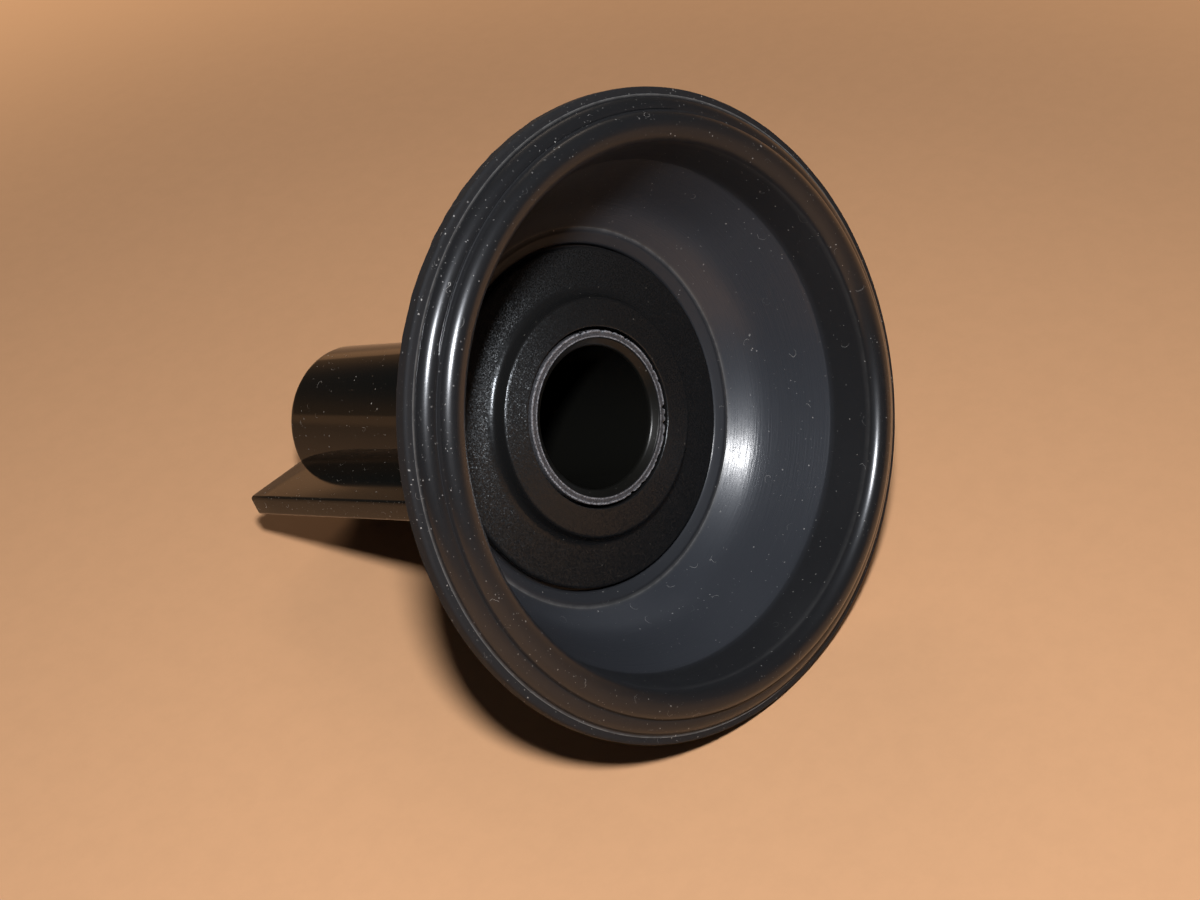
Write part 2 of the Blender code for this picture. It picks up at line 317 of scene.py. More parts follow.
# The rubber diaphragm, in mm, with heights from the bead's top. Dust is (cells per metre, share of
# them, size), and lint has a width after its size
diaphragm = {
    "beadRadius": 32.88, "beadThickness": 1.64, "beadWidth": 3.4, "beadEdge": 0.25,
    "beadTop": (-0.1, 0.6),  # height and fillet of its outer edge
    "ridgeRadius": 32.1,
    "ridge": [(0.06, -0.03, 0.01), (0.02, 0.03, 0.03), (-0.05, 0.02, 0.03)],  # out, height, fillet
    "bandCentre": (30.38, -0.33), "bandRound": 1.5, "bandDegrees": (14, 86),
    "crease": (30.285, 1.17), "wall": 0.9, "wallDraft": 14.3, "wallFootDepth": 3.6,
    "rollCentre": (28.75, 0.9), "rollRadius": 1.55, "rollStart": 13, "wallFootFillet": 0.25,
    "seatRadius": 20.0, "seatDepth": 13.5, "footSlope": 0.90, "footReach": 0.50,
    "seatBore": 18.3, "seatEdge": 0.7, "lipTop": (19.45, -13.40), "lipFall": 0.45,
    "webTop": -14.65, "webBottom": -15.55,
    "innerBeadRadius": 11.7, "innerBeadTop": -13.05, "eyeRadius": 9.5,
    "steps": 376, "bandSteps": 18, "rollSteps": 32, "coneSteps": 40,

    "waviness": 0.02, "waveBlur": (14, 14), "waveSeed": 3,
    "waveGrows": (20, 28), "waveFades": (31.6, 30.4),  # radii from none to all of it
    "flashReach": 0.05, "flashDepth": 0.3, "flashBlur": (0.8,), "flashSeed": 5, "flashBase": 0.1,
    "flashEdges": [(-0.3, 0.25), (-1.64, 0.2)],  # height, half height
    "flashStretches": [(112, 1.2, 0.1), (20.0535, 0.5, 0.05)],  # degrees, strength, width

    # strength, radius, half width, height, half height
    "dustLines": [(1.0, 32.08, 0.03, 0.02, 0.2), (0.3, 18.42, 0.08, -13.5, 0.2),
                  (0.3, 20.0, 0.14, -13.5, 0.3)],
    "rollDust": {"strength": 0.08, "radius": 27.22, "height": 1.1, "width": 0.12},
    "beadFilmAndReflection": 0.55, "rimFilmAndReflection": 0.12,
    "polishTurn": -30.0, "lipShare": 0.45, "lipDull": 0.55,

    # The bowl's colour is a painted sheen: lighter and bluer than the rubber itself
    "colour": (0.0115, 0.0118, 0.013), "bowlSheenColour": (0.029, 0.032, 0.039),
    # The earth colour is a brown film: partly dirt, partly a painted reflection of the brown floor
    "dustColour": (0.39, 0.385, 0.375), "earthAndReflectionColour": (0.035, 0.029, 0.025),
    "roughness": 0.44, "unevenness": 0.2, "rimRoughness": 0.28, "shine": 0.33,
    "shineTint": (0.84, 0.9, 1.0, 1.0),
    "skin": 0.80, "skinRoughness": 0.24, "dullSideSkin": 0.24,
    "streakScale": (4, 4, 60), "broadScale": (1.5, 1.5, 12), "cloudScale": 160, "grainScale": 2600,
    "specks": (1900, 0.6, 0.07), "bigSpecks": (620, 0.35, 0.12), "rimSpecks": (2500, 0.6, 0.08),
    "fibres": (330, 0.8, 0.5, 0.015), "filmScale": 1500, "brokenScale": 700, "faintScale": 420,
    "film": 0.3, "creaseDust": 0.6, "dullRoughness": 0.3, "dustRoughness": 0.4,
    "plainStreaks": 0.08, "coneStreaks": 2.6, "broadRelief": 0.8, "grainRelief": 0.2,
    "dustRelief": 1.2, "bumpStrength": 0.4, "bumpMetres": 0.00002,
}


def coneLine(wallFoot):
    # from the wall's foot inwards to the seat; going out, the slope grows from its value at the seat
    # to full steepness: slope = start + (full - start) (1 - exp(-(share / reach)^4)), and the height
    # is its sum
    d = diaphragm
    width, climb = wallFoot[0] - d["seatRadius"], wallFoot[1] + d["seatDepth"]
    share = np.linspace(0, 1, d["coneSteps"] + 1)
    grown = 1 - np.exp(-(share / d["footReach"]) ** 4)
    summed = np.concatenate([[0], np.cumsum((grown[1:] + grown[:-1]) / 2) / d["coneSteps"]])
    full = d["footSlope"] + (climb / width - d["footSlope"]) / summed[-1]
    height = width * (d["footSlope"] * share + (full - d["footSlope"]) * summed)
    return np.stack([d["seatRadius"] + width * share, height - d["seatDepth"]], axis=-1)[::-1]


def diaphragmLine():
    # the side that faces the mouth, from the bead's back inwards to the eye, then the back outwards
    d = diaphragm
    wallDegrees = 180 - d["wallDraft"]
    band = circleLine(d["bandCentre"], d["bandRound"], *d["bandDegrees"], d["bandSteps"])
    roll = circleLine(d["rollCentre"], d["rollRadius"], d["rollStart"], wallDegrees, d["rollSteps"])
    wallTop = roll[-1]
    wallIn = (wallTop[1] + d["wallFootDepth"]) * math.tan(math.radians(d["wallDraft"]))
    wallFoot = (wallTop[0] - wallIn, -d["wallFootDepth"])
    cone = coneLine(wallFoot)
    bead = sectionLine([
        (d["beadRadius"] - d["beadWidth"], -d["beadThickness"], 0),
        (d["beadRadius"], -d["beadThickness"], d["beadEdge"]),
        (d["beadRadius"], *d["beadTop"]),
        *[(d["ridgeRadius"] + out, height, fillet) for out, height, fillet in d["ridge"]],
        (*band[0], 0.02),
        (*band[1], 0),
    ], 0.3, 4)
    crease = sectionLine([(*band[-2], 0), (*band[-1], 0.01), (*d["crease"], 0.03), (*roll[0], 0)],
                         0.3, 3)
    wall = sectionLine([(*wallTop, 0), (*wallFoot, d["wallFootFillet"]), (*cone[3], 0)], 0.7)
    seat = sectionLine([
        (*cone[-2], 0),
        (*cone[-1], 0.04),
        (*d["lipTop"], 0.5),
        (d["seatBore"], -d["seatDepth"] - d["lipFall"], d["seatEdge"]),
        (d["seatBore"], d["webTop"], 0.1),
        (d["innerBeadRadius"], d["webTop"], 0.1),
        (d["innerBeadRadius"], d["innerBeadTop"], 0.3),
        (d["eyeRadius"], d["innerBeadTop"], 0.3),
        (d["eyeRadius"], d["webBottom"], 0.1),
        (d["eyeRadius"] + 1, d["webBottom"], 0),
    ], 0.6)
    front = np.concatenate([bead, band[2:-2], crease, roll[1:], wall[1:], cone[4:-1], seat[1:]])

    # The back keeps one wall's thickness from the front
    corners = np.array([wallTop, wallFoot, (d["seatRadius"], -d["seatDepth"])])
    wallBack, footBack, coneBack = sideLine(corners, d["wall"])
    slope = (coneBack[0] - footBack[0]) / (coneBack[1] - footBack[1])
    seatBack = (coneBack[0] + slope * (d["webBottom"] - coneBack[1]), d["webBottom"])
    back = sectionLine([
        (d["eyeRadius"] + 1, d["webBottom"], 0),
        (*seatBack, 0.8),
        (*footBack, 1.2),
        (*wallBack, 0),
    ], 1.6)
    backRoll = circleLine(d["rollCentre"], d["rollRadius"] - d["wall"], wallDegrees, 0, 8)
    return np.concatenate([front, back[1:], backRoll[1:]]), len(front)


def makeDiaphragm():
    d = diaphragm
    line, frontCount = diaphragmLine()
    radius, height = line.T
    along = np.concatenate([[0], np.cumsum(np.hypot(*np.diff(line, axis=0).T))])
    front = np.arange(len(line)) < frontCount
    angle = fullTurn(d["steps"])
    outwards = outwardsAt(angle)
    grid = turnedGrid(line, d["steps"])
    shape = grid.shape[:2]

    # A soft waviness of the moulding, most on the free roll and the wall, none where the ring clamps
    wave = softRandom(shape, d["waveBlur"], d["waveSeed"]) * d["waviness"]
    wave = wave * ramp(radius, *d["waveGrows"]) * ramp(radius, *d["waveFades"])
    grid = grid + outwards * wave[..., None]

    # Ragged moulding flash on the bead's outer edges, strongest along two stretches
    edge = sum(bell(height, *part) for part in d["flashEdges"])
    edge = edge * (radius > d["beadRadius"] - d["flashDepth"])
    ragged = np.abs(softRandom((d["steps"],), d["flashBlur"], d["flashSeed"]))[:, None]
    stretch = d["flashBase"] + sum(
        strength * bell(np.cos(angle - math.radians(middle)), 1.0, width)
        for middle, strength, width in d["flashStretches"])
    grid = grid + outwards * (d["flashReach"] * ragged * stretch * edge)[..., None]
    piece = makePiece("rubberDiaphragm", layDown(grid).reshape(-1, 3), ringFaces(*shape))

    # Where dust lies: in the creases and along the moulded edges, and over the bead's outer side.
    # The brown film on the bead and the roll is partly dirt and partly a painted reflection of the
    # floor
    lines = sum(
        strength * bell(radius, middle, width) * bell(height, level, tall)
        for strength, middle, width, level, tall in d["dustLines"])
    dust = d["rollDust"]
    nearest = np.argmin(np.abs(height - dust["height"]) + np.abs(radius - dust["radius"]))
    lines = lines + dust["strength"] * bell(along, along[nearest], dust["width"])
    paintPoints(piece, "dustLine", lines * front, shape)
    handledAndReflection = d["beadFilmAndReflection"] * ramp(radius, 31.9, 32.5)
    handledAndReflection = handledAndReflection + d["rimFilmAndReflection"] * ramp(radius, 27.5, 29.5) * front
    paintPoints(piece, "handledAndReflection", handledAndReflection, shape)

    # The rim's top, the cone and part of the seat's lip (painted sheen), and the edges without a
    # shiny skin
    paintPoints(piece, "rim", front * ramp(radius, 27.2, 27.6) * ramp(radius, 32.0, 31.9), shape)
    inCrease = (height > 0.7) * (np.abs(radius - d["crease"][0] - 0.02) < 0.16)
    lip = front * ramp(radius, 20.05, 19.90) * (height > d["webTop"] + 0.05)
    dull = np.maximum(ramp(radius, 31.98, 32.04), inCrease)
    paintPoints(piece, "dullEdge", np.maximum(dull, d["lipDull"] * lip), shape)
    cone = np.maximum(ramp(radius, 19.9, 20.3), d["lipShare"] * (radius > 18.2))
    paintPoints(piece, "cone", front * cone * ramp(height, -3.2, -3.7), shape)

    # The rubber is cleaner and shinier on two opposite sides: cosine squared of the turn from there
    polished = np.cos(angle - math.radians(d["polishTurn"])) ** 2
    paintPoints(piece, "polished", polished, shape)
    ringPlace = outwards + along[:, None] * np.array([0, 0, 0.1])
    paintVectors(piece, "ringPlace", ringPlace, shape)
    return piece


def rubberFinish():
    d = diaphragm
    material, tree, shader = newMaterial("dusty black rubber")
    place = objectPlace(tree)
    around = painted(tree, "ringPlace", "Vector")
    onCone, polished, dullEdge = [painted(tree, name) for name in ("cone", "polished", "dullEdge")]

    # Streaks that run round the piece, from the tool that cut the mould
    fine = noise(tree, scaled(tree, around, d["streakScale"]), 1.0, 3.0, 0.65)
    broad = noise(tree, scaled(tree, around, d["broadScale"]), 1.0, 2.0)
    cloud = noise(tree, place, d["cloudScale"], 3.0)
    grain = noise(tree, place, d["grainScale"], 2.0)

    # Dust: a brown film where the rubber is touched, partly dirt and partly a painted reflection of
    # the brown floor, fine lines in the creases, specks and a few fibres
    handledAndReflection = painted(tree, "handledAndReflection")
    film = rise(tree, noise(tree, place, d["filmScale"], 4.0, 0.7), 0.3, 0.8)
    film = times(tree, times(tree, handledAndReflection, film), d["film"])
    broken = rise(tree, noise(tree, place, d["brokenScale"], 3.0, 0.65), 0.36, 0.6, 0.6, 1.0)
    creases = times(tree, painted(tree, "dustLine"), broken)
    onRim = times(tree, handledAndReflection, 6.0, True)
    bits = highest(
        tree,
        dustSpecks(tree, place, *d["specks"]),
        dustSpecks(tree, place, *d["bigSpecks"]),
        lintFibres(tree, place, *d["fibres"]),
        times(tree, dustSpecks(tree, place, *d["rimSpecks"]), onRim),
    )
    faint = rise(tree, noise(tree, place, d["faintScale"], 3.0), 0.42, 0.64, 0.10, 0.75)
    creases = times(tree, creases, d["creaseDust"])
    dust = work(tree, "MAXIMUM", times(tree, bits, faint), creases, True)

    # The cone and a part of the lip are painted lighter and bluer: a painted sheen of the lamp
    rubber = blendColours(tree, onCone, (*d["colour"], 1), (*d["bowlSheenColour"], 1))
    # The brown film is partly dirt and partly a painted reflection of the brown floor
    rubber = blendColours(tree, film, rubber, (*d["earthAndReflectionColour"], 1))
    rubber = blendColours(tree, dust, rubber, (*d["dustColour"], 1))
    tree.links.new(rubber, shader.inputs["Base Color"])

    # Roughness: uneven all over, less on the rim's polished sides, more in dust and at dull edges
    uneven = plus(tree, times(tree, fine, 0.5), times(tree, cloud, 0.5))
    uneven = times(tree, uneven, d["unevenness"])
    rough = plus(tree, d["roughness"] - d["unevenness"] / 2, uneven)
    smoother = times(tree, painted(tree, "rim"), polished)
    smoother = times(tree, smoother, d["roughness"] - d["rimRoughness"])
    rough = work(tree, "SUBTRACT", rough, smoother)
    rough = plus(tree, rough, times(tree, dullEdge, d["dullRoughness"]))
    covered = times(tree, highest(tree, dust, film), d["dustRoughness"])
    tree.links.new(plus(tree, rough, covered, True), shader.inputs["Roughness"])

    # The shiny skin: most on the polished sides, none on dust and at dull edges
    clean = plus(tree, d["dullSideSkin"], times(tree, polished, 1 - d["dullSideSkin"]))
    skin = work(tree, "SUBTRACT", times(tree, clean, d["skin"]), dust)
    skin = times(tree, work(tree, "SUBTRACT", 1.0, dullEdge), skin, True)
    tree.links.new(skin, shader.inputs["Coat Weight"])

    streaks = plus(tree, d["plainStreaks"], times(tree, onCone, d["coneStreaks"]))
    relief = plus(tree, times(tree, fine, streaks), times(tree, broad, d["broadRelief"]))
    relief = plus(tree, relief, times(tree, grain, d["grainRelief"]))
    relief = plus(tree, relief, times(tree, bits, d["dustRelief"]))
    bump = addNode(tree, "ShaderNodeBump", None, Strength=d["bumpStrength"],
                   Distance=d["bumpMetres"], Height=relief)
    tree.links.new(bump.outputs[0], shader.inputs["Normal"])
    tree.links.new(bump.outputs[0], shader.inputs["Coat Normal"])
    shader.inputs["IOR"].default_value = 1.5
    shader.inputs["Specular IOR Level"].default_value = d["shine"]
    shader.inputs["Specular Tint"].default_value = d["shineTint"]
    shader.inputs["Coat Roughness"].default_value = d["skinRoughness"]
    return material


# The stepped retaining ring, in mm
retainingRing = {
    "radius": 17.97, "bandTop": -13.35, "bandBottom": -14.35, "crown": -11.70, "edge": 0.3,
    "stepRadius": 13.0, "stepFillet": 1.1, "stepSlope": 0.45, "stepEdge": 0.35, "eyeRadius": 9.5,
    "pocketRadius": 12.0, "pocketRoof": -12.75, "steps": 420,
    "grainDepth": 0.003, "grainBlur": (0.8, 0.8), "grainSeed": 11,
    "erodedRadii": (13.3, 13.9), "erodedBase": 0.12, "erodedBand": 0.88, "erodedCrown": 0.55,
    "fallSwing": 0.25, "fallTurn": 105,  # the fall is uneven by this much, most at this turn
    "crumbsPerMetre": 10500, "lean": 0.60, "fall": 0.42,
    "colour": (0.0085, 0.0085, 0.0087), "dustColour": (0.28, 0.26, 0.23),
    "roughness": 0.24, "unevenness": 0.1, "unevenScale": 240, "erodedRoughness": 0.20,
    "dustRoughness": 0.5, "shine": (0.88, 0.94, 1.0, 1.0),
    "specks": (1500, 0.4, 0.065), "flecks": (500, 0.25, 0.09), "faintScale": 500,
    "fineScale": 3000, "bumpStrength": 0.5, "bumpMetres": 0.00003,
}


def makeRetainingRing():
    r = retainingRing
    line = sectionLine([
        (r["pocketRadius"] + 1, r["bandBottom"], 0),
        (r["radius"], r["bandBottom"], 0.15),
        (r["radius"], r["bandTop"], r["edge"]),
        (r["stepRadius"], r["bandTop"], r["stepFillet"]),
        (r["stepRadius"] - r["stepSlope"], r["crown"], r["stepEdge"]),
        (r["eyeRadius"], r["crown"], 0.2),
        (r["eyeRadius"], r["pocketRoof"], 0.05),
        (r["pocketRadius"], r["pocketRoof"], 0.05),
        (r["pocketRadius"], r["bandBottom"], 0.05),
        (r["pocketRadius"] + 1, r["bandBottom"], 0),
    ], 0.35, 6)[:-1]
    radius, height = line.T
    grid = turnedGrid(line, r["steps"])
    shape = grid.shape[:2]
    onTop = height > r["bandTop"] - 0.2
    grain = softRandom(shape, r["grainBlur"], r["grainSeed"]) * r["grainDepth"]
    grid[..., 2] += grain * (onTop & (radius > r["eyeRadius"] + 0.1))
    piece = makePiece("retainingRing", layDown(grid).reshape(-1, 3), ringFaces(*shape))

    # How much of the eroded grain each place has, and which way is outwards, for the band's fall
    band = r["erodedBand"] * onTop * ramp(radius, *r["erodedRadii"])
    crown = r["erodedCrown"] * (height > r["crown"] - 0.05)
    paintPoints(piece, "eroded", r["erodedBase"] + band + crown, shape)
    angle = fullTurn(r["steps"])
    swing = 1 + r["fallSwing"] * np.cos(angle - math.radians(r["fallTurn"]))
    paintVectors(piece, "outwards", tipUp(outwardsAt(angle) * swing[..., None]), shape)
    return piece


def ringFinish():
    r = retainingRing
    material, tree, shader = newMaterial("spark-eroded black plastic")
    place = objectPlace(tree)
    eroded = painted(tree, "eroded")

    # Every crumb of the eroded surface is a small facet that leans its own way, and the band as a
    # whole falls away a little towards its outer edge
    crumbs = addNode(tree, "ShaderNodeTexVoronoi", {"feature": "F1"}, Vector=place,
                     Scale=r["crumbsPerMetre"])
    lean = vectorWork(tree, "SUBTRACT", crumbs.outputs["Color"], n1=(0.5, 0.5, 0.5))
    lean = vectorWork(tree, "SCALE", lean, Scale=times(tree, eroded, r["lean"]))
    fall = vectorWork(tree, "SCALE", painted(tree, "outwards", "Vector"),
                      Scale=times(tree, eroded, r["fall"]))
    fine = noise(tree, place, r["fineScale"], 3.0, 0.7)
    bump = addNode(tree, "ShaderNodeBump", None, Strength=r["bumpStrength"],
                   Distance=r["bumpMetres"], Height=fine)
    facet = vectorWork(tree, "ADD", bump.outputs[0], n1=vectorWork(tree, "ADD", lean, n1=fall))
    tree.links.new(vectorWork(tree, "NORMALIZE", facet), shader.inputs["Normal"])

    bits = highest(tree, dustSpecks(tree, place, *r["specks"]), dustSpecks(tree, place, *r["flecks"]))
    faint = rise(tree, noise(tree, place, r["faintScale"], 2.0), 0.4, 0.62, 0.1, 0.6)
    bits = times(tree, bits, faint, True)
    colour = blendColours(tree, bits, (*r["colour"], 1), (*r["dustColour"], 1))
    tree.links.new(colour, shader.inputs["Base Color"])
    uneven = times(tree, noise(tree, place, r["unevenScale"], 3.0), r["unevenness"])
    rough = plus(tree, r["roughness"] - r["unevenness"] / 2, uneven)
    rough = plus(tree, rough, times(tree, eroded, r["erodedRoughness"]))
    rough = plus(tree, rough, times(tree, bits, r["dustRoughness"]), True)
    tree.links.new(rough, shader.inputs["Roughness"])
    shader.inputs["IOR"].default_value = 1.5
    shader.inputs["Specular Tint"].default_value = r["shine"]
    return material


# The slide in mm: tube, flange and guide plate
slide = {
    "tubeRadius": 9.185, "mouth": -11.70, "stubEdge": 0.15, "end": -57.77, "endEdge": 0.4,
    "flangeTop": -15.85, "flangeBottom": -17.65, "flangeRadius": 19.07, "flangeEdge": 0.4,
    "flangeFillet": 1.0, "boreRadius": 7.5, "boreMouth": 0.35, "boreFloor": -54.8,
    "boreFillet": 0.6, "cutRadius": 8.4, "seatRadius": 4.0, "seatFloor": -55.8,
    "needleHole": 1.4, "liftHole": 1.2, "liftOffset": 5.7, "liftSteps": 48,
    "plateWidth": 34.8, "plateThickness": 2.5, "plateDrop": 1.1, "plateTop": -16.75,
    "plateEnd": -57.5, "plateEdge": 0.45, "wingStart": 8.0, "plateSide": (16.95, 17.25),
    "steps": 336, "rimRings": 12, "sharpDegrees": 40,

    "chipDepth": 0.16, "chipRadii": (8.75, 9.15), "chipInwards": 0.8, "chipBlur": (0.9,),
    "chipSeed": 23, "crumbDepth": 0.012, "crumbBlur": (0.9, 0.9), "crumbSeed": 21,
    "wornBase": 0.35, "wornTurn": 0.1, "wornWidth": 0.9,
    "rimHollows": [(0.05, 8.78, 0.14), (0.03, 8.5, 0.08)],  # depth, radius, half width
    # The cut rim's two ridges are painted lighter, as painted highlights, and stay darker between
    "rimRidgeHighlights": [(0.8, 8.48, 0.07), (1.0, 9.03, 0.08)],  # lightness, radius, half width
    "rimBase": 0.16,

    "colour": (0.006, 0.006, 0.0052), "cutColour": (0.34, 0.345, 0.375),
    "rimColour": (0.026, 0.026, 0.029), "dustColour": (0.50, 0.48, 0.44),
    "roughness": 0.07, "unevenness": 0.02, "dustRoughness": 0.6, "mouthRoughness": 0.22,
    "rimRoughness": 0.38, "refraction": 1.37,
    "specks": (2200, 0.4, 0.07), "flecks": (520, 0.4, 0.11), "sideSpecks": (2900, 0.8, 0.075),
    "fibres": (380, 0.5, 0.45, 0.018),
    "crumbScale": 5200, "cloudScale": 60, "faintScale": 500, "waveScale": 55,
    "waveRelief": 0.5, "dustRelief": 0.4, "crumbRelief": 2.0,
    "bumpStrength": 0.5, "bumpMetres": 0.00005,
}


def makeTube():
    s = slide
    line = sectionLine([
        (s["cutRadius"], s["mouth"], 0),
        (s["cutRadius"] + 0.06, s["mouth"], 0.03),
        (s["tubeRadius"], s["mouth"], s["stubEdge"]),
        (s["tubeRadius"], s["flangeTop"], 0.05),
        (s["flangeRadius"], s["flangeTop"], s["flangeEdge"]),
        (s["flangeRadius"], s["flangeBottom"], s["flangeEdge"]),
        (s["tubeRadius"], s["flangeBottom"], s["flangeFillet"]),
        (s["tubeRadius"], s["end"], s["endEdge"]),
        (s["needleHole"], s["end"], 0.12),
        (s["needleHole"], s["seatFloor"], 0.08),
        (s["seatRadius"], s["seatFloor"], 0.08),
        (s["seatRadius"], s["boreFloor"], 0.08),
        (s["boreRadius"], s["boreFloor"], s["boreFillet"]),
        (s["boreRadius"], s["mouth"] - s["boreMouth"] - 0.25, 0.5),
        (s["cutRadius"] - 0.1, s["mouth"] - 0.16, 0.12),
        (s["cutRadius"], s["mouth"], 0),
    ], 2.2, 5)[:-1]

    # The cut rim of the stub gets rings of its own, close enough to carry its roughness
    rim = np.linspace(s["cutRadius"] + 0.1, s["tubeRadius"] - 0.18, s["rimRings"])
    rim = np.stack([rim, np.full(len(rim), s["mouth"])], axis=-1)
    start = np.argmax((line[:-1, 1] > s["mouth"] - 0.001) & (np.diff(line[:, 0]) > 0.2)) + 1
    flat = start + np.argmax(line[start:, 0] > rim[-1, 0])
    line = np.concatenate([line[:start], rim, line[flat:]])
    radius, height = line.T
    grid = turnedGrid(line, s["steps"])
    shape = grid.shape[:2]

    # Crumbs and shallow hollows all over the rim, and chips out of its outer edge, most on one side
    onRim = (height > s["mouth"] - 0.16) & (radius > s["cutRadius"])
    crumbs = s["crumbDepth"] * np.abs(softRandom(shape, s["crumbBlur"], s["crumbSeed"]))
    chips = np.abs(softRandom((s["steps"],), s["chipBlur"], s["chipSeed"]))
    chips = np.clip(chips - 1.0, 0, 1.5)[:, None]
    angle = fullTurn(s["steps"])
    worn = s["wornBase"] + bell(np.cos(angle - s["wornTurn"]), 1.0, s["wornWidth"])
    chips = s["chipDepth"] * chips * worn * ramp(radius, *s["chipRadii"]) * onRim
    hollow = sum(depth * bell(radius, middle, width) for depth, middle, width in s["rimHollows"])
    grid[..., 2] -= (crumbs + hollow) * onRim + chips
    grid -= outwardsAt(angle) * (s["chipInwards"] * chips)[..., None]
    return makePiece("slideBody", grid.reshape(-1, 3) * mm, ringFaces(*shape))


def makeTool(name, points, faces, caps):
    # a closed shape that is joined to the slide or cut out of it
    mesh = bpy.data.meshes.new(name)
    mesh.from_pydata((points.reshape(-1, 3) * mm).tolist(), [], faces.tolist() + caps)
    tool = bpy.data.objects.new(name, mesh)
    bpy.context.scene.collection.objects.link(tool)
    return tool


def makeGuideWing(side):
    # half of the guide plate, from inside the tube's wall outwards: a rounded rectangle, which is
    # middle + half size + edge (cos angle, sin angle), carried along the slide and drawn in at both
    # ends by a quarter circle
    s = slide
    edge = s["plateEdge"]
    turn = np.linspace(0, np.pi / 2, 7)
    length = np.linspace(s["plateEnd"] + edge, s["plateTop"] - edge, 12)[1:-1]
    inset = edge * (1 - np.sin(turn))
    inset = np.concatenate([inset, 0 * length, inset[::-1]])
    endIn = edge * (1 - np.cos(turn))
    height = np.concatenate([s["plateEnd"] + endIn, length, s["plateTop"] - endIn[::-1]])
    corner = np.radians(np.arange(0, 360, 90))[:, None] + np.linspace(0, np.pi / 2, 7)[None]
    flatX = (s["plateWidth"] / 2 - s["wingStart"]) / 2 - edge
    middleX = side * (s["plateWidth"] / 2 + s["wingStart"]) / 2
    flatY = s["plateThickness"] / 2 - edge
    quadX = (flatX * np.array([1, -1, -1, 1])[:, None] + 0 * corner).ravel()
    quadY = (flatY * np.array([1, 1, -1, -1])[:, None] + 0 * corner).ravel()
    reach = (edge - inset)[:, None]
    x = middleX + quadX[None] + reach * np.cos(corner).ravel()[None]
    y = quadY[None] + reach * np.sin(corner).ravel()[None] - s["plateDrop"]
    points = np.stack([x, y, height[:, None] + 0 * x], axis=-1)
    rows, columns = points.shape[:2]
    index = np.arange(rows * columns).reshape(rows, columns)
    ahead = np.roll(index, -1, axis=1)
    faces = np.stack([index[:-1], ahead[:-1], ahead[1:], index[1:]], axis=-1).reshape(-1, 4)
    return makeTool("guide wing", points, faces, [index[0, ::-1].tolist(), index[-1].tolist()])


def makeLiftHole():
    # a cylinder beside the axis, longer than the closed end is thick
    s = slide
    line = np.array([[s["liftHole"], s["end"] - 1], [s["liftHole"], s["boreFloor"] + 1]])
    grid = turnedGrid(line, s["liftSteps"]) + np.array([0, s["liftOffset"], 0])
    index = np.arange(2 * s["liftSteps"]).reshape(-1, 2)
    ahead = np.roll(index, -1, axis=0)
    faces = np.stack([index[:, 0], ahead[:, 0], ahead[:, 1], index[:, 1]], axis=-1)
    return makeTool("lift hole", grid, faces, [index[::-1, 0].tolist(), index[:, 1].tolist()])


def makeSlide():
    # the tube with both wings joined and the lift hole cut, upright first and laid down after that
    s = slide
    tube = makeTube()
    tools = {makeGuideWing(-1): "UNION", makeGuideWing(1): "UNION", makeLiftHole(): "DIFFERENCE"}
    for tool, operation in tools.items():
        cut = tube.modifiers.new(tool.name, "BOOLEAN")
        cut.object, cut.operation, cut.solver = tool, operation, "EXACT"
    graph = bpy.context.evaluated_depsgraph_get()
    solid = bpy.data.meshes.new_from_object(tube.evaluated_get(graph))
    tube.modifiers.clear()
    tube.data = solid
    solid.name = "slideBody"
    for tool in tools:
        bpy.data.objects.remove(tool, do_unlink=True)

    points = np.empty(len(solid.vertices) * 3, np.float32)
    solid.vertices.foreach_get("co", points)
    points = points.reshape(-1, 3).astype(float) / mm
    solid.vertices.foreach_set("co", layDown(points).astype(np.float32).ravel())
    solid.update()
    solid.shade_smooth()
    solid.set_sharp_from_angle(angle=math.radians(s["sharpDegrees"]))

    # The cut rim with its ridges painted lighter (painted highlights), all but the bore, the plate's
    # sides and the bore's mouth
    radius, height = np.hypot(points[:, 0], points[:, 1]), points[:, 2]
    cut = s["cutRadius"]
    onRim = (height > s["mouth"] - 0.3) * ramp(radius, cut - 0.05, cut + 0.03) * (radius < 10)
    paintPoints(tube, "cutRim", onRim)
    ridges = sum(light * bell(radius, middle, width) for light, middle, width in s["rimRidgeHighlights"])
    paintPoints(tube, "rimRidgeHighlight", np.clip(s["rimBase"] + ridges, 0, 1) * onRim)
    paintPoints(tube, "outside", 1.0 - (radius < cut - 0.3) * (height > s["end"] + 0.1))
    paintPoints(tube, "plateSide", ramp(np.abs(points[:, 0]), *s["plateSide"]))
    paintPoints(tube, "mouthEdge", (height > s["mouth"] - 0.9) * (radius < cut + 0.02))
    return tube


